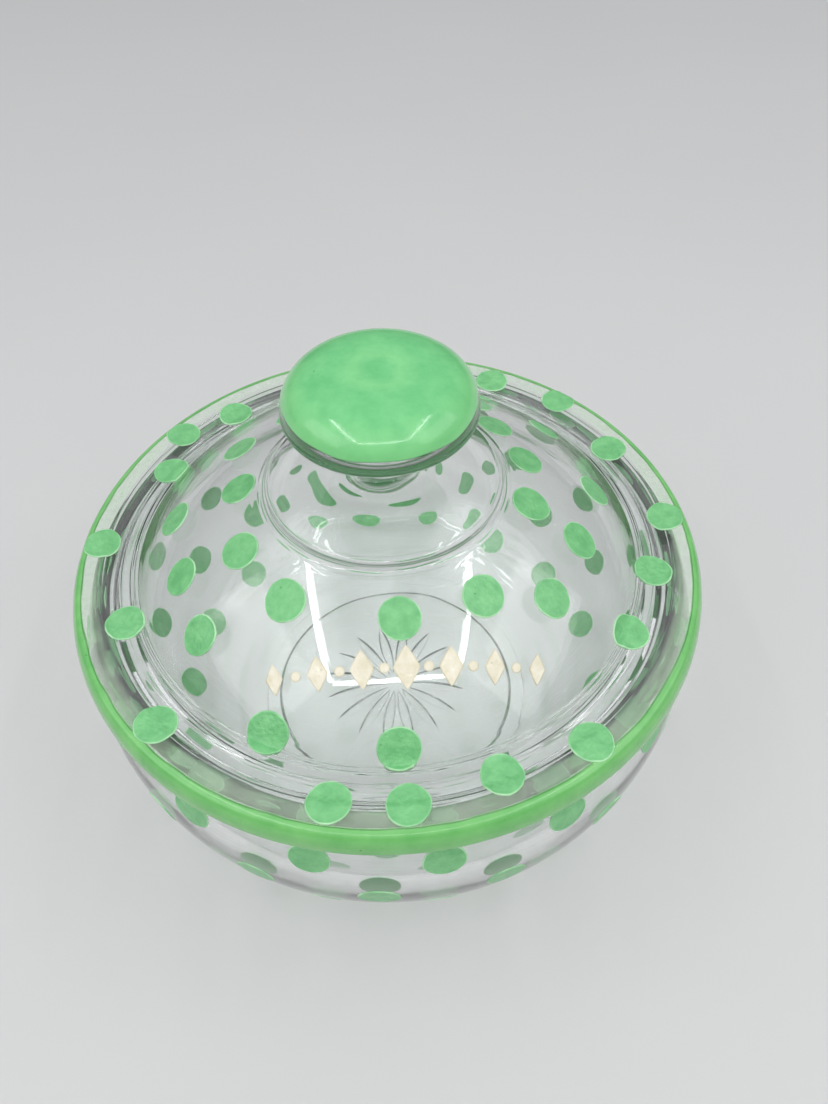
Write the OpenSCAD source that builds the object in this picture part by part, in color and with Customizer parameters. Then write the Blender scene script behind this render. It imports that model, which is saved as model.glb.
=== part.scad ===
// Covered powder jar in clear pressed glass, with fired enamel decoration.
// A round-bellied bowl stands on a low foot ring. A domed lid with a knob rests on
// the bowl's rim and lifts straight off. Green enamel covers the knob, the lid's edge
// and scattered round dots, and a cream enamel ornament crosses the front of the lid.
// Millimetres, +Z up, origin at the centre of the foot's underside, front towards -Y.

/* [Bowl] */
// Height of the rim that the lid rests on
rim_h = 54; // [50:0.5:57]
// Outer radius at the rim
neck_r = 60; // [58:0.5:61]
// Outer radius at the belly
belly_r = 63.5; // [62:0.5:66]
// Height of the belly's widest place
belly_h = 38.5; // [36:0.5:42]
// Outer radius of the foot ring
foot_r = 33; // [30:0.5:36]
// Thickness of the side wall
wall = 3.6; // [3:0.1:4]
// Height of the inside floor above the table
floor_h = 5.5; // [5:0.1:7]

/* [Lid] */
// Outer radius of the lid's enamelled edge
lid_r = 63.5; // [63:0.5:65]
// Thickness of the lid's flange
flange_t = 4.5; // [4:0.1:5]
// Radius where the dome leaves the flange
dome_r = 50.2; // [49:0.1:50.5]
// Rise of the dome from the flange to the knob's foot
dome_rise = 16.8; // [15:0.1:18]
// Thickness of the dome's glass
dome_t = 3.8; // [3:0.1:4.5]
// Depth of the locating ring that hangs inside the rim
ring_depth = 3.5; // [2.5:0.5:5]

/* [Knob] */
// Outer radius of the knob's foot on the dome
knob_foot_r = 24; // [23:0.1:25]
// Radius of the neck
neck_knob_r = 5.7; // [5:0.1:7]
// Radius of the knob's clear edge
knob_r = 17.4; // [16:0.1:18.5]
// Height of the knob's clear edge above the flange
knob_edge_h = 34.8; // [34:0.1:36]
// Height of the enamelled cap above the clear edge
cap_h = 7.7; // [7:0.1:9]

/* [Enamel] */
// Diameter of a dot
dot_d = 7.6; // [6:0.1:8.4]
// Thickness of a dot or ornament
dot_t = 0.2; // [0.1:0.05:0.3]
// Thickness of the enamel on the lid's edge
band_t = 0.35; // [0.2:0.05:0.5]
// Thickness of the enamel on the knob
cap_t = 0.4; // [0.2:0.05:0.6]
// Dots in each row around the bowl
dots_per_row = 17; // [12:1:17]

/* [Hidden] */
$fn = 96;

glass = [0.83, 0.90, 0.88, 0.45];
green = [0.47, 0.80, 0.51];
cream = [0.88, 0.82, 0.70];

// Foot ring: its height under the bowl's curve, its width, and the hollow inside it.
foot_h = 0.8;
foot_w = 3.5;
hollow_h = 1.2;
edge_round = 0.8;

// Star pressed into the hollow's ceiling: rays from star_in to star_out.
star_rays = 16;
star_in = 2.5;
star_out = 18;
ray_half_w = 1.3;
ray_depth = 0.7;

// Inside of the bowl: the floor is flat out to inner_floor_r.
inner_floor_r = 32;
inner_belly_r = belly_r - wall;
mouth_r = neck_r - wall;

// Levels of the lid.
flange_h = rim_h + flange_t;
edge_top_r = lid_r - 2.3;
edge_low_h = rim_h + 0.2;
step_r = 56.8;
step_h = flange_h - 0.4;
bead_r = dome_r + 0.9;
bead_h = 0.5;
bead_half_w = 0.8;

// The dome is part of a sphere through the flange and the knob's foot.
foot_top_h = flange_h + dome_rise;
sphere_h = (foot_top_h * foot_top_h - step_h * step_h + knob_foot_r * knob_foot_r - dome_r * dome_r)
           / (2 * (foot_top_h - step_h));
sphere_r = norm([dome_r, step_h - sphere_h]);
inner_sphere_r = sphere_r - dome_t;

// Locating ring under the lid: a running gap inside the bowl's mouth.
ring_out_r = mouth_r - 0.9;
ring_in_r = ring_out_r - 4.2;
ring_low_h = rim_h - ring_depth;

// Knob: foot step, waist, underside, clear edge and cap.
foot_fillet_r = 1.8;
foot_wall_r = knob_foot_r - foot_fillet_r;
waist_base_r = foot_wall_r - 1.1;
waist_base_h = foot_top_h + foot_fillet_r + 0.4;
waist_h = flange_h + 27.5;
waist_flare = 4;
knob_h = flange_h + knob_edge_h;
lip_r = 1.1;
cap_low_u = asin(2.2 / cap_h);
cap_power = 0.45;

// Heights of the dot rows on the bowl. Rows are turned half a pitch from one another.
row_heights = [46.5, 33.5, 20.5, 8.5];
row_pitch = 360 / dots_per_row;
row_start = -15.1;

// Dots on the lid as [azimuth from the front, radius]. They were placed by hand, so no
// two gaps are quite the same.
outer_dots = [[1, 57], [17.5, 55.5], [34, 58], [59, 51.5], [77, 53.5], [92, 58], [115, 56],
              [134, 59], [151, 57], [173, 53.8], [-165, 58], [-141, 54.4], [-128, 58],
              [-117, 53], [-93, 58.5], [-71, 53.5], [-46.5, 57.5], [-12, 57]];
middle_dots = [[0, 48], [49, 38], [72, 38], [96, 43], [124, 43], [149, 42], [176, 41],
               [-152, 42], [-93, 42], [-71, 41], [-53, 43], [-27, 48.5]];
inner_dots = [[2.5, 30.5], [31, 31], [76, 28], [101, 28.5], [124, 28], [142, 33], [168, 29],
              [-166, 30], [-141, 29], [-118, 33], [-93, 28], [-63, 30], [-36, 31]];

// Cream ornament: a row of lozenges with a pip in each gap, smaller towards the ends.
// The row bows back a little towards its ends, and sits slightly right of the front.
ornament_y = -37.6;
ornament_x = 2;
ornament_bow = 0.1;
lozenge_step = 7.5;
lozenges_each_side = 3;
lozenge_w = 4.6;
lozenge_l = 6.4;
pip_d = 1.8;

// Points along an ellipse, from angle a0 to a1 in n steps.
function arc(cx, cz, rx, rz, a0, a1, n) =
    [for (i = [0 : n]) let (a = a0 + (a1 - a0) * i / n) [cx + rx * cos(a), cz + rz * sin(a)]];

function reversed(points) = [for (i = [len(points) - 1 : -1 : 0]) points[i]];

// Side of the bowl, from the foot ring up to just under the rim, grown outwards by t.
function bowl_side(t) = concat(
    arc(foot_r, belly_h, belly_r - foot_r + t, belly_h - foot_h + t, -86, 0, 24),
    [for (i = [1 : 8]) let (s = i / 8)
        [belly_r - (belly_r - neck_r) * s * s + t, belly_h + (rim_h - edge_round - belly_h) * s]]);

function bowl_inside() = concat(
    [[0, floor_h]],
    arc(inner_floor_r, belly_h, inner_belly_r - inner_floor_r, belly_h - floor_h, -90, 0, 20),
    [for (i = [1 : 8]) let (s = i / 8)
        [inner_belly_r - (inner_belly_r - mouth_r) * s * s, belly_h + (rim_h - edge_round - belly_h) * s]]);

function bowl_outline() = concat(
    [[0, hollow_h], [foot_r - foot_w - 0.6, hollow_h], [foot_r - foot_w, 0], [foot_r - 0.4, 0],
     [foot_r, 0.4]],
    bowl_side(0),
    [[neck_r - edge_round, rim_h], [mouth_r + edge_round, rim_h]],
    reversed(bowl_inside()));

function sphere_z(r, radius) = sphere_h + sqrt(radius * radius - r * r);

// Upper face of the lid between the enamelled edge and the knob's foot, raised by t.
// The dome runs into the foot's wall through a small fillet.
function lid_face(t) = concat(
    [[edge_top_r, flange_h + t], [step_r + 0.3, flange_h + t], [step_r - 0.3, step_h + t]],
    [for (i = [0 : 8]) let (s = i / 4 - 1)
        [bead_r - s * bead_half_w, step_h + bead_h * (1 + cos(180 * s)) / 2 + t]],
    [for (i = [0 : 15]) let (r = dome_r - (dome_r - knob_foot_r) * i / 16)
        [r, sphere_z(r, sphere_r) + t]],
    arc(knob_foot_r, foot_top_h + foot_fillet_r, foot_fillet_r - t, foot_fillet_r - t, 270, 184, 6));

// Enamelled edge of the lid, shrunk by t.
function lid_edge(t) = arc(edge_top_r, edge_low_h, lid_r - edge_top_r - t, flange_h - edge_low_h - t, 0, 90, 10);

// Knob's foot, waist and underside, up to the cap's lower edge.
// The neck stays narrow almost down to the foot, and then flares out over the foot's top.
function knob_side() = concat(
    [[foot_wall_r - 0.2, waist_base_h - 0.3], [foot_wall_r - 0.6, waist_base_h]],
    [for (i = [0 : 16]) let (s = pow(i / 16, 1.4))
        [neck_knob_r + (waist_base_r - neck_knob_r) * pow(1 - s, waist_flare),
         waist_base_h + (waist_h - waist_base_h) * s]],
    arc(knob_r - 0.8, waist_h, knob_r - 0.8 - neck_knob_r, knob_h - lip_r - waist_h, 174, 96, 10),
    arc(knob_r - lip_r, knob_h, lip_r, lip_r, -80, 40, 8));

// Boxy dome of the knob's cap, shrunk by t, from its lower edge to the axis.
function cap_outline(t) = concat(
    [for (i = [0 : 20]) let (u = cap_low_u + (88 - cap_low_u) * i / 20)
        [(knob_r - t) * pow(cos(u), cap_power), knob_h + (cap_h - t) * sin(u)]],
    [[0, knob_h + cap_h - t]]);

function lid_underside() = concat(
    [for (i = [0 : 16]) let (r = ring_in_r * i / 16) [r, sphere_z(r, inner_sphere_r)]],
    [[ring_in_r + 0.6, ring_low_h + 1], [ring_in_r + 1.4, ring_low_h],
     [ring_out_r - 1, ring_low_h], [ring_out_r, ring_low_h + 1], [ring_out_r, rim_h],
     [lid_r - 0.8, rim_h]]);

function lid_outline() = concat(
    lid_underside(), lid_edge(band_t), lid_face(0), knob_side(), cap_outline(cap_t));

// A skin of enamel of the outline's own shape, cut to the shapes that follow it.
module skin(inner, outer) {
    rotate_extrude() polygon(concat(inner, reversed(outer)));
}

// Lens-shaped ray from star_in to star_out along +X.
module ray() {
    half_l = (star_out - star_in) / 2;
    r = (half_l * half_l + ray_half_w * ray_half_w) / (2 * ray_half_w);
    translate([star_in + half_l, 0]) intersection() {
        translate([0, r - ray_half_w]) circle(r);
        translate([0, ray_half_w - r]) circle(r);
    }
}

module bowl_glass() {
    color(glass) difference() {
        rotate_extrude() polygon(bowl_outline());
        for (i = [0 : star_rays - 1]) {
            rotate([0, 0, (i + 0.5) * 360 / star_rays])
                translate([0, 0, hollow_h - 1]) linear_extrude(1 + ray_depth) ray();
        }
    }
}

// One row of dots around the bowl. Each is a disc cut square to the wall.
module bowl_dots(row) {
    h = row_heights[row];
    s = (h - belly_h) / (belly_h - foot_h);
    above = h > belly_h;
    r = above ? belly_r : foot_r + (belly_r - foot_r) * sqrt(1 - s * s);
    down = above ? 0 : atan2(-s * (belly_r - foot_r), sqrt(1 - s * s) * (belly_h - foot_h));
    color(green) intersection() {
        skin(bowl_side(0), bowl_side(dot_t));
        for (i = [0 : dots_per_row - 1]) {
            rotate([0, 0, row_start + (i + (row % 2) / 2) * row_pitch])
                translate([0, -r, h]) rotate([90 + down, 0, 0])
                    cylinder(d = dot_d, h = 8, center = true);
        }
    }
}

module bowl_dots_upper() { bowl_dots(0); }
module bowl_dots_middle() { bowl_dots(1); }
module bowl_dots_lower() { bowl_dots(2); }
module bowl_dots_foot() { bowl_dots(3); }

module lid_glass() {
    color(glass) rotate_extrude() polygon(lid_outline());
}

module rim_band_enamel() {
    color(green) rotate_extrude() polygon(concat(lid_edge(0), reversed(lid_edge(band_t))));
}

// Scattered dots on the lid, each a disc cut square to the flange or the dome.
module lid_dots(places) {
    color(green) intersection() {
        skin(lid_face(0), lid_face(dot_t));
        for (p = places) {
            on_dome = p[1] < dome_r;
            z = on_dome ? sphere_z(p[1], sphere_r) : flange_h;
            slope = on_dome ? asin(p[1] / sphere_r) : 0;
            rotate([0, 0, p[0]]) translate([0, -p[1], z]) rotate([slope, 0, 0])
                cylinder(d = dot_d, h = 8, center = true);
        }
    }
}

module lid_dots_outer() { lid_dots(outer_dots); }
module lid_dots_middle() { lid_dots(middle_dots); }
module lid_dots_inner() { lid_dots(inner_dots); }

module lozenge(w, h) {
    polygon([[-w / 2, 0], [0, -h / 2], [w / 2, 0], [0, h / 2]]);
}

// Place of the ornament's shape number i, counted from the middle one.
function ornament_place(i) = [ornament_x + i * lozenge_step, ornament_y + ornament_bow * i * i];

module lid_ornament() {
    color(cream) intersection() {
        skin(lid_face(0), lid_face(dot_t));
        translate([0, 0, flange_h]) linear_extrude(dome_rise + 2) {
            for (i = [-lozenges_each_side : lozenges_each_side]) {
                translate(ornament_place(i)) lozenge(lozenge_w - 0.5 * abs(i), lozenge_l - 0.7 * abs(i));
            }
            for (i = [-lozenges_each_side : lozenges_each_side - 1]) {
                translate(ornament_place(i + 0.5)) circle(d = pip_d, $fn = 32);
            }
        }
    }
}

module knob_enamel() {
    color(green) rotate_extrude() polygon(concat(cap_outline(0), reversed(cap_outline(cap_t))));
}

bowl_glass();
bowl_dots_upper();
bowl_dots_middle();
bowl_dots_lower();
bowl_dots_foot();
lid_glass();
rim_band_enamel();
lid_dots_outer();
lid_dots_middle();
lid_dots_inner();
lid_ornament();
knob_enamel();
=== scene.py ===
"""Looks of the powder jar: clear pressed glass with fired enamel, on a pale floor.

Every shape is worked out in millimetres in the row frame, +Z up with the origin under
the foot's centre and the front towards -Y, and turned into metres as its mesh is made.
"""

import math

import bmesh
import bpy
import numpy as np
from mathutils import Matrix, Vector


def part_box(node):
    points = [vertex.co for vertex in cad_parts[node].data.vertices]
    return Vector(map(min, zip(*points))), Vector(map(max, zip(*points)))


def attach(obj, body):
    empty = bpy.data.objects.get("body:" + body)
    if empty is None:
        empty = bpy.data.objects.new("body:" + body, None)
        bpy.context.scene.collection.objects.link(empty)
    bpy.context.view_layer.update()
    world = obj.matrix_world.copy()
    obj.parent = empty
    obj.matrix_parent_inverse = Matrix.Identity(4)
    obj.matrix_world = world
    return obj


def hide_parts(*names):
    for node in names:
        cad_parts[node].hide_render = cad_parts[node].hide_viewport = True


MM = 0.001

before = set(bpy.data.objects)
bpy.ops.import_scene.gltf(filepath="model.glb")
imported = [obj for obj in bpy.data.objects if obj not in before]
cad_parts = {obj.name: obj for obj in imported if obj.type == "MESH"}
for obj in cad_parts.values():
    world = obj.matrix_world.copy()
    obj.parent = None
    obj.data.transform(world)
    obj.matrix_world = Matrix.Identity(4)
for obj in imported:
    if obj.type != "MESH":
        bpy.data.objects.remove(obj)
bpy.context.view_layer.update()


def cad_box(node):
    """Lowest and highest corner of a CAD node, in millimetres."""
    low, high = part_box(node)
    return np.array(low) / MM, np.array(high) / MM


# ---------------------------------------------------------------- sizes, in millimetres

# Steps round the axis: the bowl has more, for its star.
SEGMENTS = 288
BOWL_SEGMENTS = 384

# Taken from the frame.
rim_h = cad_box("bowl_glass")[1][2]
ring_low_h = cad_box("lid_glass")[0][2]
lid_r = cad_box("rim_band_enamel")[1][0]
flange_h = cad_box("rim_band_enamel")[1][2]
top_h = cad_box("knob_enamel")[1][2]

# Bowl.
neck_r = 60.0
belly_r = 63.5
belly_h = 38.5
foot_r = 33.0
foot_w = 3.5
foot_in_r = foot_r - foot_w
foot_h = 0.8
foot_corner = 0.4
hollow_h = 1.2
wall = 3.6
floor_h = 5.5
inner_floor_r = 32.0
inner_belly_r = belly_r - wall
mouth_r = neck_r - wall
rim_gap = 0.06
rim_round = 0.8
rim_bevel_r = 0.35
rim_bevel_h = 0.3
rim_flat_in = 1.0

# Star pressed into the base.
star_rays = 16
star_in = 2.5
star_out = 18.0
ray_half_w = 1.3
ray_depth = 0.7

# Lid.
edge_top_r = lid_r - 2.3
edge_low_h = rim_h + 0.2
edge_bevel = 0.8
step_r = 56.8
step_h = flange_h - 0.4
dome_r = 50.2
step_run = 0.9
# Inner edge of the painted reflection of the band on the flange.
reflection_in_r = 57.6
# Fine ridges round the flange, as radius, height and half-width: the double bead and two hair lines.
ring_lines = ((50.65, 0.34, 0.42), (51.5, 0.30, 0.40), (53.6, 0.07, 0.30), (57.2, 0.08, 0.25))
# The enamel of a dot fills the double bead's grooves, and lies over it as one broad swelling.
bead_cover = (51.1, 0.42, 1.9)
knob_foot_r = 24.0
foot_top_h = flange_h + 16.8
sphere_h = (foot_top_h**2 - step_h**2 + knob_foot_r**2 - dome_r**2) / (2 * (foot_top_h - step_h))
sphere_r = math.hypot(dome_r, step_h - sphere_h)
dome_t = 3.8
ring_out_r = mouth_r - 0.9
ring_in_r = ring_out_r - 4.2
ring_bevel = 1

# Knob, and the foot and neck that carry it.
knob_r = 17.4
foot_fillet_r = 1.8
foot_wall_r = knob_foot_r - foot_fillet_r
waist_base_r = foot_wall_r - 1.1
waist_base_h = foot_top_h + foot_fillet_r + 0.4
waist_h = flange_h + 27.5
waist_flare = 4
waist_bias = 1.4
neck_knob_r = 5.7
knob_under_r = knob_r - 0.8
knob_h = flange_h + 34.8
cap_h = top_h - knob_h
lip_r = 1.1
# The cap runs between these angles up its boxy dome, and the glass under it stops at glass_high_u.
cap_low_u = math.degrees(math.asin(2.2 / cap_h))
cap_high_u = 89.2
glass_high_u = 88
cap_power = 0.45

# Enamel: how thick it looks, and how far it is sunk into the glass so that no air is left.
skin_t = 0.14
sunk = 0.06
dot_sunk = 0.12
dot_r = 3.8
dot_t = 0.15
# A dot is flat_share of dot_t thick, swells at bulge_in from its edge, and rounds off over edge_round.
flat_share = 0.75
bulge_in = 0.3
bulge_w = 0.16
edge_round = 0.16
highest_lift = 0.19

# Distance between the points of an outline that enamel is laid along.
dense_step = 0.05


# ---------------------------------------------------------------- outlines, as (r, z) points


def arc(cx, cz, rx, rz, start, end, steps):
    """Points along an ellipse, from one angle to another in degrees."""
    a = np.radians(np.linspace(start, end, steps + 1))
    return np.column_stack([cx + rx * np.cos(a), cz + rz * np.sin(a)])


def curve(r_of_s, z_of_s, steps):
    """Points of a curve given by two functions of a share s, from 0 to 1."""
    s = np.linspace(0.0, 1.0, steps + 1)
    return np.column_stack([r_of_s(s), z_of_s(s)])


def level_line(r_start, r_end, z, count):
    """Points at one height, from one radius to another."""
    return np.column_stack([np.linspace(r_start, r_end, count), np.full(count, z)])


def softened(points, reach, sharpest=14.0, steps=5):
    """The same outline with its corners rounded off. Gentle bends stay as they are."""
    points = np.asarray(points, float)
    keep = [points[0]]
    for before, corner, after in zip(points[:-2], points[1:-1], points[2:]):
        back = before - corner
        ahead = after - corner
        back_l = np.linalg.norm(back)
        ahead_l = np.linalg.norm(ahead)
        if back_l < 1e-6 or ahead_l < 1e-6:
            continue
        turn = 180 - math.degrees(math.acos(np.clip(back @ ahead / (back_l * ahead_l), -1, 1)))
        if turn < sharpest:
            keep.append(corner)
            continue
        a = corner + back / back_l * min(reach, 0.45 * back_l)
        b = corner + ahead / ahead_l * min(reach, 0.45 * ahead_l)
        for t in np.linspace(0, 1, steps):
            keep.append((1 - t) ** 2 * a + 2 * t * (1 - t) * corner + t**2 * b)
    keep.append(points[-1])
    return np.array(keep)


def upper_wall(wide_r, rim_r, steps):
    """Side of the bowl from its widest place up to just under the rim."""
    return curve(lambda s: wide_r - (wide_r - rim_r) * s**2,
                 lambda s: belly_h + (rim_h - rim_round - belly_h) * s, steps)


def bowl_side():
    """Outside of the bowl from the foot ring up to just under the rim."""
    low = arc(foot_r, belly_h, belly_r - foot_r, belly_h - foot_h, -86, 0, 46)
    return np.vstack([low, upper_wall(belly_r, neck_r, 12)[1:]])


def bowl_inside():
    """Inside of the bowl from the middle of its floor up to just under the rim."""
    floor = level_line(0, inner_floor_r, floor_h, 24)[:-1]
    low = arc(inner_floor_r, belly_h, inner_belly_r - inner_floor_r, belly_h - floor_h, -90, 0, 40)
    return np.vstack([floor, low, upper_wall(inner_belly_r, mouth_r, 11)[1:]])


def bowl_outline():
    """The whole bowl, from the middle of the hollow under it, round by the rim, to the middle inside."""
    ceiling = level_line(0, foot_in_r - 0.6, hollow_h, 84)
    foot = [[foot_in_r, 0], [foot_r - foot_corner, 0], [foot_r, foot_corner]]
    rim_top = rim_h - rim_gap
    rim = [[neck_r - rim_bevel_r, rim_top - rim_bevel_h], [neck_r - rim_flat_in, rim_top],
           [mouth_r + rim_flat_in, rim_top], [mouth_r + rim_bevel_r, rim_top - rim_bevel_h]]
    return softened(np.vstack([ceiling, foot, bowl_side(), rim, bowl_inside()[::-1]]), 0.35)


def dome_z(r, radius):
    """Height at radius r of a sphere of a given radius about the dome's centre."""
    return sphere_h + np.sqrt(radius**2 - r**2)


def ridge(r, at, height, half_w):
    """Height of a low round ridge that runs round the lid at radius at."""
    s = np.clip((r - at) / half_w, -1, 1)
    return height * (1 + np.cos(np.pi * s)) / 2


def ridge_height(r, ridges):
    """Height of several ridges together at radius r."""
    return sum(ridge(r, *line) for line in ridges)


def lid_face(ridges=ring_lines):
    """Upper face of the lid, from the enamelled edge in to the knob's foot, with ridges round it."""
    r = np.linspace(edge_top_r, dome_r, 100)
    step = ridge(np.maximum(r, step_r - step_run), step_r - step_run, flange_h - step_h, 2 * step_run)
    level = flange_h - step
    channel = np.column_stack([r, np.minimum(level + ridge_height(r, ridges), flange_h)])
    r = np.linspace(dome_r, knob_foot_r, 90)[1:-1]
    dome = np.column_stack([r, dome_z(r, sphere_r) + ridge_height(r, ridges)])
    fillet = arc(knob_foot_r, foot_top_h + foot_fillet_r, foot_fillet_r, foot_fillet_r, 270, 184, 12)
    return np.vstack([channel, dome, fillet])


def lid_edge(t):
    """Rounded outer edge of the lid, t inside the enamel's surface."""
    return arc(edge_top_r, edge_low_h, lid_r - edge_top_r - t, flange_h - edge_low_h - t, 0, 90, 20)


def knob_side():
    """Foot's top, neck, underside and clear lip of the knob, up to the enamelled cap."""
    start = [[foot_wall_r - 0.2, waist_base_h - 0.3], [foot_wall_r - 0.6, waist_base_h]]
    waist = curve(lambda s: neck_knob_r + (waist_base_r - neck_knob_r) * (1 - s**waist_bias) ** waist_flare,
                  lambda s: waist_base_h + (waist_h - waist_base_h) * s**waist_bias, 50)
    under = arc(knob_under_r, waist_h, knob_under_r - neck_knob_r, knob_h - lip_r - waist_h, 174, 96, 24)
    lip = arc(knob_r - lip_r, knob_h, lip_r, lip_r, -80, 40, 16)
    return np.vstack([start, waist, under, lip])


def cap_outline(t):
    """Glass under the knob's cap, t inside the enamel's surface, from its lower edge up to the axis."""
    u = np.radians(np.linspace(cap_low_u, glass_high_u, 41))
    side = np.column_stack([(knob_r - t) * np.cos(u) ** cap_power, knob_h + (cap_h - t) * np.sin(u)])
    top = level_line(side[-1, 0], 0, knob_h + cap_h - t, 5)[1:]
    return np.vstack([side, top])


def lid_underside():
    """Inside of the dome from the axis out, and round the locating ring to the lid's edge."""
    r = np.linspace(0, ring_in_r, 40)
    dome = np.column_stack([r, dome_z(r, sphere_r - dome_t)])
    ring = [[ring_in_r + 0.6, ring_low_h + ring_bevel], [ring_in_r + 1.4, ring_low_h],
            [ring_out_r - ring_bevel, ring_low_h], [ring_out_r, ring_low_h + ring_bevel],
            [ring_out_r, rim_h], [lid_r - edge_bevel, rim_h]]
    return np.vstack([dome, ring])


def lid_outline():
    """The whole lid under its enamel, from the axis inside the dome round to the top of the knob."""
    body = np.vstack([lid_underside(), lid_edge(skin_t), lid_face(), knob_side(), cap_outline(skin_t)])
    return softened(body, 0.3)


def dense(points):
    """The outline with a point every dense_step millimetres."""
    lengths = np.hypot(*np.diff(points, axis=0).T)
    along = np.concatenate([[0], np.cumsum(lengths)])
    s = np.arange(0, along[-1], dense_step)
    return np.column_stack([np.interp(s, along, points[:, 0]), np.interp(s, along, points[:, 1])])


# ---------------------------------------------------------------- mesh tools


def ripple(points, wavelength, seed, waves=7):
    """Smooth seeded noise of about -1 to 1 at each point."""
    rng = np.random.default_rng(seed)
    total = np.zeros(points.shape[:-1])
    for _ in range(waves):
        way = rng.normal(size=3)
        way *= 2 * math.pi / wavelength * rng.uniform(0.7, 1.4) / np.linalg.norm(way)
        total += np.sin(points @ way + rng.uniform(0, 2 * math.pi))
    return total / math.sqrt(waves)


def piece_from(name, points, faces, material, replaced, body, marks=None):
    """A smooth mesh from points in millimetres, which replaces a CAD node and rides on a body."""
    mesh = bpy.data.meshes.new(name)
    mesh.from_pydata((points * MM).tolist(), [], faces)
    made = bmesh.new()
    made.from_mesh(mesh)
    bmesh.ops.recalc_face_normals(made, faces=made.faces)
    made.to_mesh(mesh)
    made.free()
    mesh.shade_smooth()
    if marks is not None:
        mesh.attributes.new("edge", "FLOAT", "POINT").data.foreach_set("value", marks.astype(np.float32))
    mesh.materials.append(material)
    piece = bpy.data.objects.new(name, mesh)
    bpy.context.scene.collection.objects.link(piece)
    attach(piece, body)
    if replaced:
        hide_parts(replaced)
    return piece


def ring_faces(rows, segments, first=0, closed=False):
    """Quads between rows of points, each row a ring of segments points."""
    faces = []
    for i in range(rows if closed else rows - 1):
        a = first + i * segments
        b = first + (i + 1) % rows * segments
        for j in range(segments):
            k = (j + 1) % segments
            faces.append((a + j, a + k, b + k, b + j))
    return faces


def revolved(outline, segments=SEGMENTS):
    """Points and faces of a closed outline turned about the axis."""
    on_axis = outline[0, 0] < 1e-6
    rings = outline[1:-1] if on_axis else outline
    turn = np.linspace(0, 2 * math.pi, segments, endpoint=False)
    points = np.stack([rings[:, None, 0] * np.cos(turn), rings[:, None, 0] * np.sin(turn),
                       np.repeat(rings[:, None, 1], segments, axis=1)], axis=-1).reshape(-1, 3)
    faces = ring_faces(len(rings), segments, closed=not on_axis)
    if on_axis:
        first, last = len(points), len(points) + 1
        points = np.vstack([points, [0, 0, outline[0, 1]], [0, 0, outline[-1, 1]]])
        end = (len(rings) - 1) * segments
        for j in range(segments):
            k = (j + 1) % segments
            faces.append((first, k, j))
            faces.append((last, end + j, end + k))
    return points, faces


def outward(points):
    """Direction away from the middle of the glass at each point, for small ripples."""
    away = points - np.array([0, 0, 40.0])
    return away / np.linalg.norm(away, axis=-1, keepdims=True)


def islands(node):
    """Points and middle of each loose part of a CAD node, in millimetres."""
    made = bmesh.new()
    made.from_mesh(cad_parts[node].data)
    bmesh.ops.remove_doubles(made, verts=made.verts, dist=1e-7)
    made.faces.index_update()
    left = set(made.verts)
    found = []
    while left:
        part = set()
        todo = [left.pop()]
        while todo:
            vert = todo.pop()
            part.add(vert)
            for edge in vert.link_edges:
                other = edge.other_vert(vert)
                if other in left:
                    left.remove(other)
                    todo.append(other)
        # The faces are summed in one fixed order, so that every run gives the same middle.
        faces = sorted({face for vert in part for face in vert.link_faces}, key=lambda face: face.index)
        area = sum(face.calc_area() for face in faces)
        middle = sum((face.calc_center_median() * face.calc_area() for face in faces), Vector()) / area
        found.append((np.array([v.co for v in part]) / MM, np.array(middle) / MM))
    made.free()
    return sorted(found, key=lambda part: (round(math.atan2(part[1][1], part[1][0]), 3), part[1][2]))


class Surface:
    """A face of the glass that enamel lies on: an outline turned about the axis, read by its length."""

    def __init__(self, outline, filled=None):
        self.line = dense(outline)
        self.filled = filled
        along = np.gradient(self.line, axis=0)
        along /= np.linalg.norm(along, axis=1, keepdims=True)
        self.out = np.column_stack([along[:, 1], -along[:, 0]])
        if self.out.sum() < 0:
            self.out *= -1

    def length_to(self, r, z):
        """Length along the outline to the place nearest to r, z."""
        return np.hypot(self.line[:, 0] - r, self.line[:, 1] - z).argmin() * dense_step

    def lay(self, start, turn, across, along, lift):
        """Points across round the surface and along it from a place, and lift out of it."""
        index = np.arange(len(self.line))
        s = (start + along) / dense_step
        r, z, out_r, out_z = (np.interp(s, index, column) for column in (*self.line.T, *self.out.T))
        angle = turn + across / r
        r_out = r + lift * out_r
        return np.column_stack([r_out * np.cos(angle), r_out * np.sin(angle), z + lift * out_z])

    def depth(self, start, along):
        """How deep the enamel reaches below its own surface: into the glass, and through what it fills."""
        if self.filled is None:
            return np.full(len(along), dot_sunk)
        r = np.interp((start + along) / dense_step, np.arange(len(self.line)), self.line[:, 0])
        return dot_sunk + ridge(r, *self.filled)


# Shares of a patch's half-size at which its top and its underside have a ring of points.
TOP_SHARES = np.concatenate([np.linspace(0.07, 0.88, 14), [0.91, 0.935, 0.955, 0.972, 0.988, 1.0]])
LOW_SHARES = np.linspace(1.0, 0.12, 9)


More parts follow.
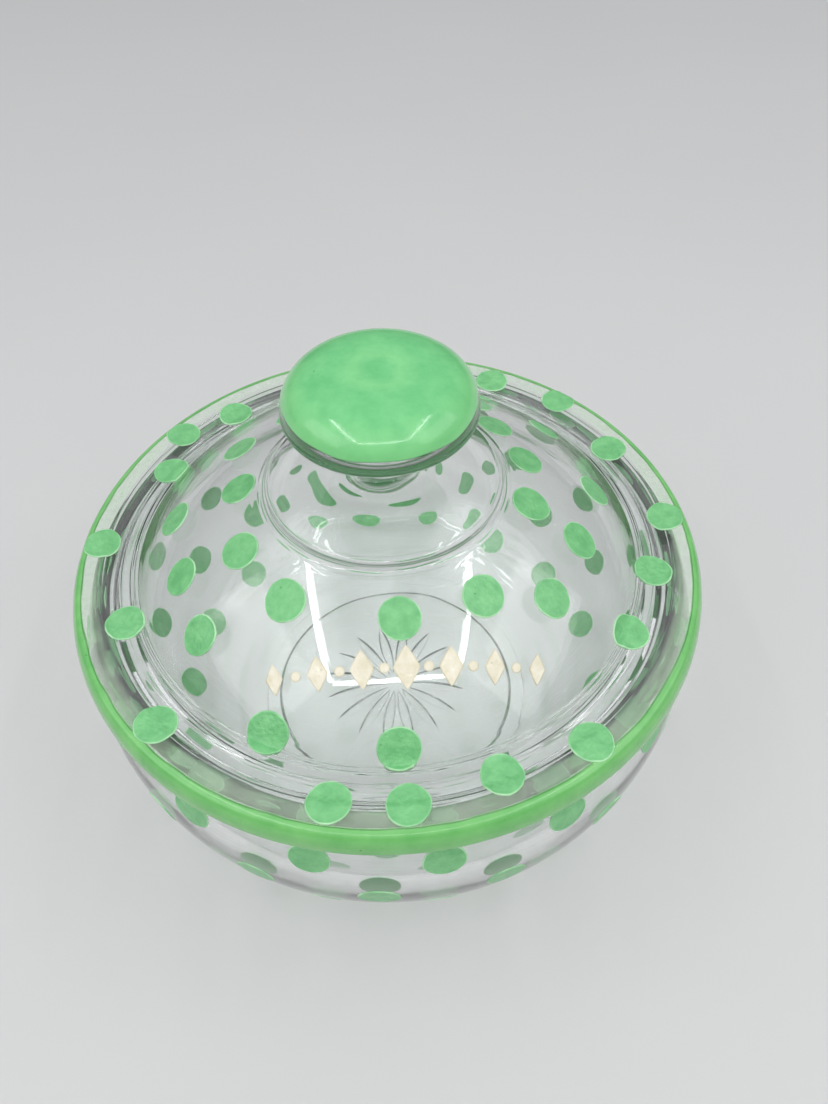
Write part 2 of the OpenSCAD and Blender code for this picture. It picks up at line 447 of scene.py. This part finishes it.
def patch(surface, r, z, turn, reach, wrinkle, seed, spin=0.0, segments=84):
    """Points, faces and edge distances of one closed patch of enamel.

    reach gives the patch's half-size in millimetres for each angle round its middle. An angle of 0
    points round the glass, and spin turns the patch from there.
    """
    angles = np.linspace(0, 2 * math.pi, segments, endpoint=False)
    size = reach(angles)
    start = surface.length_to(r, z)

    def spread(shares):
        """Places across and along the glass, and distances from the edge, of a ring for each share."""
        across = np.outer(shares, size * np.cos(angles + spin)).ravel()
        along = np.outer(shares, size * np.sin(angles + spin)).ravel()
        return across, along, np.outer(1 - shares, size).ravel()

    across, along, edge = spread(TOP_SHARES)
    # The layer is a little thicker just inside its edge, and rounds off over the last part.
    rise = np.clip(edge / edge_round, 0, 1)
    bulge = (1 - flat_share) * np.exp(-((edge - bulge_in) / bulge_w) ** 2)
    flat = np.column_stack([across, along, np.zeros(len(across))])
    rough = wrinkle * (ripple(flat, 1.3, seed) + 0.7 * ripple(flat, 0.75, seed + 1))
    lift = dot_t * np.sqrt(rise * (2 - rise)) * (flat_share + bulge) + rough * np.clip(edge / 0.5, 0, 1)
    top_points = surface.lay(start, turn, across, along, np.clip(lift, 0.0, highest_lift))
    across, along, low_edge = spread(LOW_SHARES)
    low_points = surface.lay(start, turn, across, along, -surface.depth(start, along))
    middle = np.zeros(1)
    crown_point = surface.lay(start, turn, middle, middle, dot_t * flat_share)
    base_point = surface.lay(start, turn, middle, middle, -surface.depth(start, middle))
    points = np.vstack([top_points, low_points, crown_point, base_point])
    rows = len(TOP_SHARES) + len(LOW_SHARES)
    faces = ring_faces(rows, segments)
    crown, base = len(points) - 2, len(points) - 1
    last = (rows - 1) * segments
    for j in range(segments):
        k = (j + 1) % segments
        faces.append((crown, k, j))
        faces.append((base, last + j, last + k))
    return points, faces, np.concatenate([edge, low_edge, [size.min(), size.min()]])


def joined(parts):
    """Several (points, faces, marks) as one."""
    points, faces, marks, count = [], [], [], 0
    for part_points, part_faces, part_marks in parts:
        points.append(part_points)
        faces += [tuple(i + count for i in face) for face in part_faces]
        marks.append(part_marks)
        count += len(part_points)
    return np.vstack(points), faces, np.concatenate(marks)


# ---------------------------------------------------------------- materials


def material(name):
    """A new material with an empty node tree."""
    made = bpy.data.materials.new(name)
    made.use_nodes = True
    made.node_tree.nodes.clear()
    return made


def node(mat, kind, links=(), **values):
    """Adds a node. links maps its inputs to other nodes' outputs, and values sets its own fields."""
    made = mat.node_tree.nodes.new(kind)
    for key, value in values.items():
        setattr(made, key, value)
    for key, source in dict(links).items():
        if isinstance(source, bpy.types.NodeSocket):
            mat.node_tree.links.new(source, made.inputs[key])
        else:
            made.inputs[key].default_value = source
    return made


def mixed(mat, share, a, b, blend="MIX"):
    """A colour between a and b."""
    mix = node(mat, "ShaderNodeMix", data_type="RGBA", blend_type=blend)
    for socket, value in ((mix.inputs[0], share), (mix.inputs[6], a), (mix.inputs[7], b)):
        if isinstance(value, bpy.types.NodeSocket):
            mat.node_tree.links.new(value, socket)
        else:
            socket.default_value = value
    return mix.outputs[2]


def noise(mat, place, scale, detail=3.0, roughness=0.5):
    """Noise over the object in metres: scale is how many cells there are to a metre."""
    return node(mat, "ShaderNodeTexNoise", {"Vector": place, "Scale": scale, "Detail": detail,
                                            "Roughness": roughness}).outputs["Fac"]


def ramp(mat, value, stops):
    """A value through a ramp of (place, grey) stops."""
    made = node(mat, "ShaderNodeValToRGB", {"Fac": value})
    elements = made.color_ramp.elements
    while len(elements) < len(stops):
        elements.new(0.5)
    for element, (place, grey) in zip(elements, stops):
        element.position = place
        element.color = (grey, grey, grey, 1)
    return made.outputs["Color"]


def glass_material(name, rise):
    """Clear pressed glass with a faint green-grey body. Lamp rays pass through it, dimmed a little.

    Fine rubbed rings, which follow radius plus rise times height, spread its highlights into streaks.
    """
    mat = material(name)
    place = node(mat, "ShaderNodeTexCoord").outputs["Object"]
    parts = node(mat, "ShaderNodeSeparateXYZ", {"Vector": place})
    level = node(mat, "ShaderNodeCombineXYZ", {"X": parts.outputs["X"], "Y": parts.outputs["Y"]})
    radius = node(mat, "ShaderNodeVectorMath", {0: level.outputs[0]}, operation="LENGTH")
    ring = node(mat, "ShaderNodeMath", {0: parts.outputs["Z"], 1: rise, 2: radius.outputs["Value"]},
                operation="MULTIPLY_ADD")
    rings = node(mat, "ShaderNodeTexNoise", {"W": ring.outputs[0], "Scale": 1500, "Detail": 3.0},
                 noise_dimensions="1D")
    waves = noise(mat, place, 70, 1.0)
    bump = node(mat, "ShaderNodeBump", {"Height": waves, "Strength": 0.03, "Distance": 0.002})
    rubbed = node(mat, "ShaderNodeBump", {"Height": rings.outputs["Fac"], "Strength": 1.0,
                                          "Distance": 0.00008, "Normal": bump.outputs[0]})
    smudges = ramp(mat, noise(mat, place, 60, 4.0, 0.6), [(0.35, 0.008), (0.7, 0.03)])
    glass = node(mat, "ShaderNodeBsdfPrincipled", {
        "Base Color": (0.975, 0.992, 0.985, 1), "Transmission Weight": 1.0, "IOR": 1.52,
        "Roughness": smudges, "Normal": bump.outputs[0], "Coat Weight": 0.6, "Coat Roughness": 0.12,
        "Coat Normal": rubbed.outputs[0]})
    clear = node(mat, "ShaderNodeBsdfTransparent", {"Color": (0.945, 0.955, 0.95, 1)})
    shadow = node(mat, "ShaderNodeLightPath").outputs["Is Shadow Ray"]
    either = node(mat, "ShaderNodeMixShader", {"Fac": shadow, 1: glass.outputs[0], 2: clear.outputs[0]})
    tint = node(mat, "ShaderNodeVolumeAbsorption", {"Color": (0.78, 0.90, 0.85, 1), "Density": 5.0})
    node(mat, "ShaderNodeOutputMaterial", {"Surface": either.outputs[0], "Volume": tint.outputs[0]})
    return mat


def painted_cap_light_rings(mat, place):
    """How pale the knob's enamel is painted at each distance from its axis: a wandering pale ring round a
    darker middle, painted shading of a shallow dish, and a pale rim, a painted highlight on the cap's
    shoulder.
    """
    level = node(mat, "ShaderNodeVectorMath", {0: place, 1: (1, 1, 0)}, operation="MULTIPLY")
    radius = node(mat, "ShaderNodeVectorMath", {0: level.outputs[0]}, operation="LENGTH")
    wander = node(mat, "ShaderNodeMath", {0: noise(mat, place, 220), 1: 0.005, 2: -0.0025},
                  operation="MULTIPLY_ADD")
    moved = node(mat, "ShaderNodeMath", {0: radius.outputs["Value"], 1: wander.outputs[0]}, operation="ADD")
    share = node(mat, "ShaderNodeMath", {0: moved.outputs[0], 1: 1 / (knob_r * MM)}, operation="MULTIPLY")
    # Painted light and shade: the pale ring stands for a shallow dish catching light, and the pale rim for
    # a highlight on the shoulder.
    stops = [(0.12, 0.0), (0.24, 0.35), (0.42, 0.05), (0.72, 0.1), (0.92, 0.5)]
    return ramp(mat, share.outputs[0], stops)


def enamel_material(name, deep, light, edge_colour=None, roughness=(0.22, 0.4), bump=0.1, cloud_scale=160,
                    ring=False, pits=0.5):
    """Fired enamel: clouded colour, small dark pits, and a line of edge colour along the edge of each
    patch, pale on the green dots.
    """
    mat = material(name)
    place = node(mat, "ShaderNodeTexCoord").outputs["Object"]
    clouds = ramp(mat, noise(mat, place, cloud_scale, 4.0, 0.6), [(0.32, 0.0), (0.68, 1.0)])
    colour = mixed(mat, clouds, deep, light)
    # On the cap, painted rings of light and shade are mixed into the colour.
    if ring:
        colour = mixed(mat, painted_cap_light_rings(mat, place), colour, (0.30, 0.76, 0.30, 1))
    specks = node(mat, "ShaderNodeTexVoronoi", {"Vector": place, "Scale": 420}, feature="F1")
    pit = ramp(mat, specks.outputs["Distance"], [(0.05, pits), (0.11, 0.0)])
    few = ramp(mat, noise(mat, place, 130), [(0.54, 0.0), (0.64, 1.0)])
    pit_here = node(mat, "ShaderNodeMath", {0: pit, 1: few}, operation="MULTIPLY")
    colour = mixed(mat, pit_here.outputs[0], colour, (0.02, 0.09, 0.03, 1))
    if edge_colour is not None:
        edge = node(mat, "ShaderNodeAttribute", attribute_name="edge")
        wobble = node(mat, "ShaderNodeMath", {0: noise(mat, place, 900), 1: 0.25, 2: edge.outputs["Fac"]},
                      operation="MULTIPLY_ADD")
        rim = ramp(mat, wobble.outputs[0], [(0.27, 0.9), (0.42, 0.0)])
        uneven = ramp(mat, noise(mat, place, 190), [(0.40, 0.25), (0.58, 1.0)])
        rim_here = node(mat, "ShaderNodeMath", {0: rim, 1: uneven}, operation="MULTIPLY")
        colour = mixed(mat, rim_here.outputs[0], colour, edge_colour)
    gloss = node(mat, "ShaderNodeMapRange", {"Value": noise(mat, place, 500, 3.0), "To Min": roughness[0],
                                             "To Max": roughness[1]})
    skin = node(mat, "ShaderNodeBump", {"Height": noise(mat, place, 1300, 4.0), "Strength": bump,
                                        "Distance": 0.0006})
    shader = node(mat, "ShaderNodeBsdfPrincipled", {
        "Base Color": colour, "Roughness": gloss.outputs[0], "Normal": skin.outputs[0], "IOR": 1.5,
        "Coat Weight": 0.35, "Coat Roughness": 0.08})
    node(mat, "ShaderNodeOutputMaterial", {"Surface": shader.outputs[0]})
    return mat


def painted_band_reflection_material():
    """Painted reflection of the green band, laid on the flange inside it: a thin, uneven green film that
    clear glass shows through.
    """
    mat = material("painted_band_reflection")
    place = node(mat, "ShaderNodeTexCoord").outputs["Object"]
    patches = ramp(mat, noise(mat, place, 160, 5.0, 0.65), [(0.30, 0.10), (0.72, 0.42)])
    colour = mixed(mat, noise(mat, place, 90, 3.0), (0.42, 0.66, 0.40, 1), (0.66, 0.78, 0.62, 1))
    edge = node(mat, "ShaderNodeAttribute", attribute_name="edge")
    # The painted reflection fades out over the first millimetre from the step.
    fade = ramp(mat, edge.outputs["Fac"], [(0.0, 0.0), (1.0, 0.7)])
    cover = node(mat, "ShaderNodeMath", {0: patches, 1: fade}, operation="MULTIPLY")
    shader = node(mat, "ShaderNodeBsdfPrincipled", {"Base Color": colour, "Roughness": 0.55,
                                                    "Alpha": cover.outputs[0]})
    node(mat, "ShaderNodeOutputMaterial", {"Surface": shader.outputs[0]})
    return mat


def floor_material():
    """Pale matt paper, with a faint cloudiness."""
    mat = material("pale_floor")
    place = node(mat, "ShaderNodeTexCoord").outputs["Object"]
    shade = mixed(mat, noise(mat, place, 6, 4.0), (0.60, 0.60, 0.60, 1), (0.64, 0.64, 0.635, 1))
    shader = node(mat, "ShaderNodeBsdfPrincipled", {"Base Color": shade, "Roughness": 0.75})
    node(mat, "ShaderNodeOutputMaterial", {"Surface": shader.outputs[0]})
    return mat


# ---------------------------------------------------------------- pieces


def star_depth(points):
    """How far the pressed star reaches up into the base at each point: a lens-shaped groove for a ray."""
    r = np.hypot(points[:, 0], points[:, 1])
    turn = np.degrees(np.arctan2(points[:, 1], points[:, 0]))
    pitch = 360 / star_rays
    off = np.radians((turn % pitch) - pitch / 2)
    along, across = r * np.cos(off), r * np.sin(off)
    half_l = (star_out - star_in) / 2
    bend_r = (half_l**2 + ray_half_w**2) / (2 * ray_half_w)
    from_middle = np.clip(along - star_in - half_l, -half_l, half_l)
    half_w = np.sqrt(bend_r**2 - from_middle**2) - (bend_r - ray_half_w)
    off_middle = np.clip(np.abs(across) / np.maximum(half_w, 1e-3), 0, 1)
    return ray_depth * np.clip(half_w / ray_half_w, 0, 1) ** 0.7 * np.sqrt(1 - off_middle**2)


def make_bowl(mat):
    """The bowl, with its star and the slight unevenness of pressed glass."""
    points, faces = revolved(bowl_outline(), BOWL_SEGMENTS)
    r = np.hypot(points[:, 0], points[:, 1])
    in_star = (points[:, 2] < hollow_h + 0.01) & (r < star_out + 1)
    points[in_star, 2] += star_depth(points[in_star])
    # The wall is never quite even, and the inside floor has a slight orange peel.
    on_wall = points[:, 2] > 4
    shift = np.minimum(0.015 * ripple(points, 30, 3) - 0.012, 0) * on_wall
    points += outward(points) * shift[:, None]
    peel_r = inner_floor_r + 2
    on_floor = (r < peel_r) & (np.abs(points[:, 2] - floor_h) < 0.3)
    points[:, 2] += 0.03 * ripple(points, 9, 4) * on_floor * np.clip((peel_r - r) / 4, 0, 1)
    return piece_from("bowl_body", points, faces, mat, "bowl_glass", "bowl")


def make_lid(mat):
    """The lid, slightly rippled on its dome and more so round its neck."""
    points, faces = revolved(lid_outline())
    r = np.hypot(points[:, 0], points[:, 1])
    on_dome = (r < dome_r - 1) & (r > knob_foot_r + 1)
    on_foot_r = foot_wall_r - 0.5
    on_foot = (r < on_foot_r) & (points[:, 2] > foot_top_h - 6) & (points[:, 2] < waist_h + 2)
    shift = 0.015 * ripple(points, 26, 5) * on_dome
    shift += 0.05 * ripple(points, 9, 6) * on_foot * np.clip((on_foot_r - r) / 3, 0, 1)
    points += outward(points) * shift[:, None]
    return piece_from("lid_body", points, faces, mat, "lid_glass", "lid")


def make_band(mat):
    """Enamel round the lid's edge, from just over the flange's corner down to its lower edge."""
    outer = lid_edge(0.0)
    low_h = edge_low_h - 0.08
    over = [[edge_top_r - 0.25, flange_h], [edge_top_r - 0.35, flange_h - sunk]]
    inner = lid_edge(skin_t + sunk)[::-1]
    under = [[lid_r - 0.1, low_h]]
    outline = softened(np.vstack([under, outer, over, inner, [[inner[-1, 0], low_h]]]), 0.06)
    points, faces = revolved(outline)
    shift = np.minimum(0.015 * ripple(points, 7, 8) - 0.02, 0)
    points += outward(points) * shift[:, None] * (points[:, 2] < flange_h - 0.5)[:, None]
    r = np.hypot(points[:, 0], points[:, 1])
    inner_edge = (points[:, 2] > flange_h - 0.1) & (r < edge_top_r + 0.1)
    wander = 1 - (0.16 * np.abs(ripple(points * [1, 1, 0], 9, 9)) / edge_top_r) * inner_edge
    points[:, :2] *= wander[:, None]
    return piece_from("fired_rim_band", points, faces, mat, "rim_band_enamel", "lid")


def make_painted_band_reflection(mat):
    """Painted reflection of the band: a thin film on the flange, from the band in to the step."""
    reflection_out_r = edge_top_r - 0.1
    top = level_line(reflection_in_r, reflection_out_r, flange_h + 0.012, 14)
    low = level_line(reflection_in_r, reflection_out_r, flange_h - 0.03, 14)[::-1]
    points, faces = revolved(np.vstack([top, low]))
    inset = np.hypot(points[:, 0], points[:, 1]) - reflection_in_r
    return piece_from("painted_band_reflection_film", points, faces, mat, None, "lid", inset)


def make_cap(mat):
    """Enamel over the knob's dome. Its lower edge wanders a little, as the real one does."""
    turn = np.linspace(0, 2 * math.pi, SEGMENTS, endpoint=False)
    wander = 1.1 * np.sin(2 * turn + 0.6) + 0.9 * np.sin(5 * turn + 2.0) + 0.5 * np.sin(11 * turn + 1.0)
    u_low = np.radians(cap_low_u + 1.5 + wander)
    u_high = math.radians(cap_high_u)
    shares = np.linspace(0, 1, 44) ** 1.15
    rows = [(share, skin_t * (1 - min(share / 0.03, 1.0)) ** 2) for share in shares]
    rows += [(share, skin_t + sunk) for share in shares[::-1]]
    points = []
    for share, t in rows:
        u = u_low + (u_high - u_low) * share
        r = (knob_r - t) * np.cos(u) ** cap_power
        z = knob_h + (cap_h - t) * np.sin(u)
        points.append(np.column_stack([r * np.cos(turn), r * np.sin(turn), z]))
    points = np.vstack(points)
    half = len(shares)
    faces = ring_faces(half, SEGMENTS) + ring_faces(half, SEGMENTS, first=half * SEGMENTS)
    top, low = (half - 1) * SEGMENTS, half * SEGMENTS
    end = (2 * half - 1) * SEGMENTS
    crown, base = len(points), len(points) + 1
    points = np.vstack([points, [0, 0, top_h], [0, 0, top_h - skin_t - sunk]])
    for j in range(SEGMENTS):
        k = (j + 1) % SEGMENTS
        faces.append((crown, top + j, top + k))
        faces.append((base, low + k, low + j))
        faces.append((j, k, end + k, end + j))
    return piece_from("fired_knob_cap", points, faces, mat, "knob_enamel", "lid")


def dot_reach(rng, radius):
    """A nearly round outline, brushed by hand: each dot's is a little different."""
    size = radius * rng.uniform(0.99, 1.03)
    waves = [(n, rng.uniform(0, amount), rng.uniform(0, 2 * math.pi))
             for n, amount in ((2, 0.022), (3, 0.014), (5, 0.008), (9, 0.005), (17, 0.003))]

    def reach(angles):
        return size * (1 + sum(amount * np.sin(n * angles + start) for n, amount, start in waves))
    return reach


def make_dots(name, cad_node, surface, mat, body, seed):
    """One row of dots, each where its CAD solid is."""
    parts = []
    for index, (points, middle) in enumerate(islands(cad_node)):
        rng = np.random.default_rng(seed * 100 + index)
        turn = math.atan2(middle[1], middle[0])
        r = math.hypot(middle[0], middle[1])
        reaches = np.hypot(points[:, 0], points[:, 1])
        if body == "lid" and reaches.max() > edge_top_r - 0.1:
            r = reaches.min() + dot_r
        wrinkle = rng.choice([0.010, 0.022, 0.036])
        parts.append(patch(surface, r, middle[2], turn, dot_reach(rng, dot_r), wrinkle, seed * 100 + index))
    points, faces, marks = joined(parts)
    return piece_from(name, points, faces, mat, cad_node, body, marks)


def round_reach(half):
    """A true circle."""
    def reach(angles):
        return np.full(len(angles), half)
    return reach


def lozenge_reach(half_w, half_l, power=1.12):
    """A lozenge. A power of 1 has straight sides, and a little more bows them out."""
    def reach(angles):
        total = np.abs(np.cos(angles) / half_w) ** power + np.abs(np.sin(angles) / half_l) ** power
        return total ** (-1 / power)
    return reach


def make_ornament(surface, mat):
    """Lozenges, with a pip in each gap, each where its CAD solid is."""
    parts = []
    for index, (points, middle) in enumerate(islands("lid_ornament")):
        half_w, half_flat = (points.max(axis=0) - points.min(axis=0))[:2] / 2
        turn = math.atan2(middle[1], middle[0])
        r = math.hypot(middle[0], middle[1])
        if half_w < 1:
            reach = round_reach(half_w)
        else:
            slope = math.asin(r / sphere_r)
            reach = lozenge_reach(half_w, half_flat / math.cos(slope))
        parts.append(patch(surface, r, middle[2], turn, reach, 0.008, 900 + index,
                           spin=turn + math.pi / 2, segments=96))
    points, faces, marks = joined(parts)
    return piece_from("fired_ornament", points, faces, mat, "lid_ornament", "lid", marks)


# ---------------------------------------------------------------- stage


def make_floor():
    """A wide pale floor, just under the foot."""
    bpy.ops.mesh.primitive_plane_add(size=8, location=(0, 0, -0.02 * MM))
    floor = bpy.context.object
    floor.name = "floor"
    floor.data.materials.append(floor_material())


def aim(obj, place, target):
    """Puts an object in its place, looking at a target."""
    obj.location = place
    obj.rotation_euler = (Vector(target) - Vector(place)).to_track_quat("-Z", "Y").to_euler()


def area_light(name, place, target, size, power):
    """A rectangular lamp that looks at a target."""
    data = bpy.data.lights.new(name, "AREA")
    data.shape = "RECTANGLE"
    data.size, data.size_y = size
    data.energy = power
    light = bpy.data.objects.new(name, data)
    bpy.context.scene.collection.objects.link(light)
    aim(light, place, target)


def make_room():
    """A studio that is bright overhead and dim near the horizon, which gives the glass darker edges."""
    world = bpy.data.worlds.new("room")
    world.use_nodes = True
    tree = world.node_tree
    way = tree.nodes.new("ShaderNodeTexCoord").outputs["Generated"]
    parts = tree.nodes.new("ShaderNodeSeparateXYZ")
    tree.links.new(way, parts.inputs[0])
    shade = tree.nodes.new("ShaderNodeMapRange")
    tree.links.new(parts.outputs["Z"], shade.inputs["Value"])
    shade.inputs["To Min"].default_value = 0.10
    shade.inputs["To Max"].default_value = 1.0
    tree.links.new(shade.outputs[0], tree.nodes["Background"].inputs["Strength"])
    tree.nodes["Background"].inputs["Color"].default_value = (0.97, 0.98, 1.0, 1)
    bpy.context.scene.world = world


def make_lights():
    """Three soft strips in a U over the front of the jar, and a large pale panel on each side."""
    centre = (0, -0.02, 0.06)
    high = 0.65
    reach = 0.31
    middle_y = -0.18
    strip_power = 0.6
    area_light("strip_front", (0, -0.48, high), centre, (0.6, 0.02), strip_power)
    for side, name in ((-1, "left"), (1, "right")):
        area_light("strip_" + name, (side * reach, middle_y, high), (0, middle_y, 0.06), (0.58, 0.02),
                   strip_power)
        area_light("panel_" + name, (side * 0.72, -0.25, 0.60), centre, (0.8, 0.45), 1.3)


def turned(axis, degrees):
    """Rotation matrix about one axis."""
    return np.array(Matrix.Rotation(math.radians(degrees), 3, axis))


def make_camera():
    """The camera looks down on the jar from in front, with a slight roll."""
    elevation, distance = math.radians(48.49), 169.94
    right = np.array([1, 0, 0])
    back = np.array([0, -math.cos(elevation), math.sin(elevation)])
    up = np.cross(back, right)
    roll, tilt, pan = turned("Z", 3.18), turned("X", 1.03), turned("Y", 1.78)
    view = roll @ tilt @ pan @ np.array([right, up, back])
    place = np.array([0, 0, flange_h]) + distance * back
    data = bpy.data.cameras.new("camera")
    data.sensor_fit = "VERTICAL"
    data.sensor_height = 36
    focal_share = 829 / 1104
    data.lens = focal_share * data.sensor_height
    data.clip_start = 0.005
    camera = bpy.data.objects.new("camera", data)
    camera.matrix_world = Matrix.Translation(Vector(place * MM)) @ Matrix(view.T.tolist()).to_4x4()
    bpy.context.scene.collection.objects.link(camera)
    bpy.context.scene.camera = camera


# ---------------------------------------------------------------- the jar

make_camera()
make_floor()
make_room()
make_lights()

glass_of_bowl = glass_material("pressed_glass_bowl", 1.0)
glass_of_lid = glass_material("pressed_glass_lid", -1.0)
green_dots = enamel_material("green_dot_enamel", (0.13, 0.47, 0.17, 1), (0.21, 0.60, 0.24, 1),
                             edge_colour=(0.50, 0.84, 0.50, 1), roughness=(0.28, 0.5), bump=0.4,
                             cloud_scale=420)
green_band = enamel_material("green_band_enamel", (0.13, 0.47, 0.12, 1), (0.20, 0.57, 0.17, 1),
                             roughness=(0.15, 0.3), bump=0.06)
# The cap's enamel carries painted rings of light and shade.
green_cap = enamel_material("green_cap_enamel", (0.10, 0.50, 0.17, 1), (0.17, 0.61, 0.23, 1),
                            roughness=(0.12, 0.25), bump=0.05, cloud_scale=200, ring=True, pits=0.7)
cream = enamel_material("cream_enamel", (0.74, 0.68, 0.50, 1), (0.88, 0.84, 0.70, 1),
                        edge_colour=(0.70, 0.62, 0.42, 1), roughness=(0.4, 0.6), bump=0.3, cloud_scale=500)
# Painted reflection of the green band, seen in the flange's glass.
band_reflection_paint = painted_band_reflection_material()

make_bowl(glass_of_bowl)
make_lid(glass_of_lid)
make_band(green_band)
# The band's painted reflection on the flange.
make_painted_band_reflection(band_reflection_paint)
make_cap(green_cap)
bowl_surface = Surface(bowl_side())
lid_surface = Surface(np.vstack([lid_edge(0.0), lid_face((bead_cover,))])[::-1], bead_cover)
for seed, row in enumerate(("upper", "middle", "lower", "foot"), start=1):
    make_dots("fired_bowl_dots_" + row, "bowl_dots_" + row, bowl_surface, green_dots, "bowl", seed)
for seed, row in enumerate(("outer", "middle", "inner"), start=5):
    make_dots("fired_lid_dots_" + row, "lid_dots_" + row, lid_surface, green_dots, "lid", seed)
make_ornament(lid_surface, cream)

scene = bpy.context.scene
scene.view_settings.view_transform = "Standard"
scene.cycles.max_bounces = 24
scene.cycles.transmission_bounces = 24
scene.cycles.transparent_max_bounces = 24
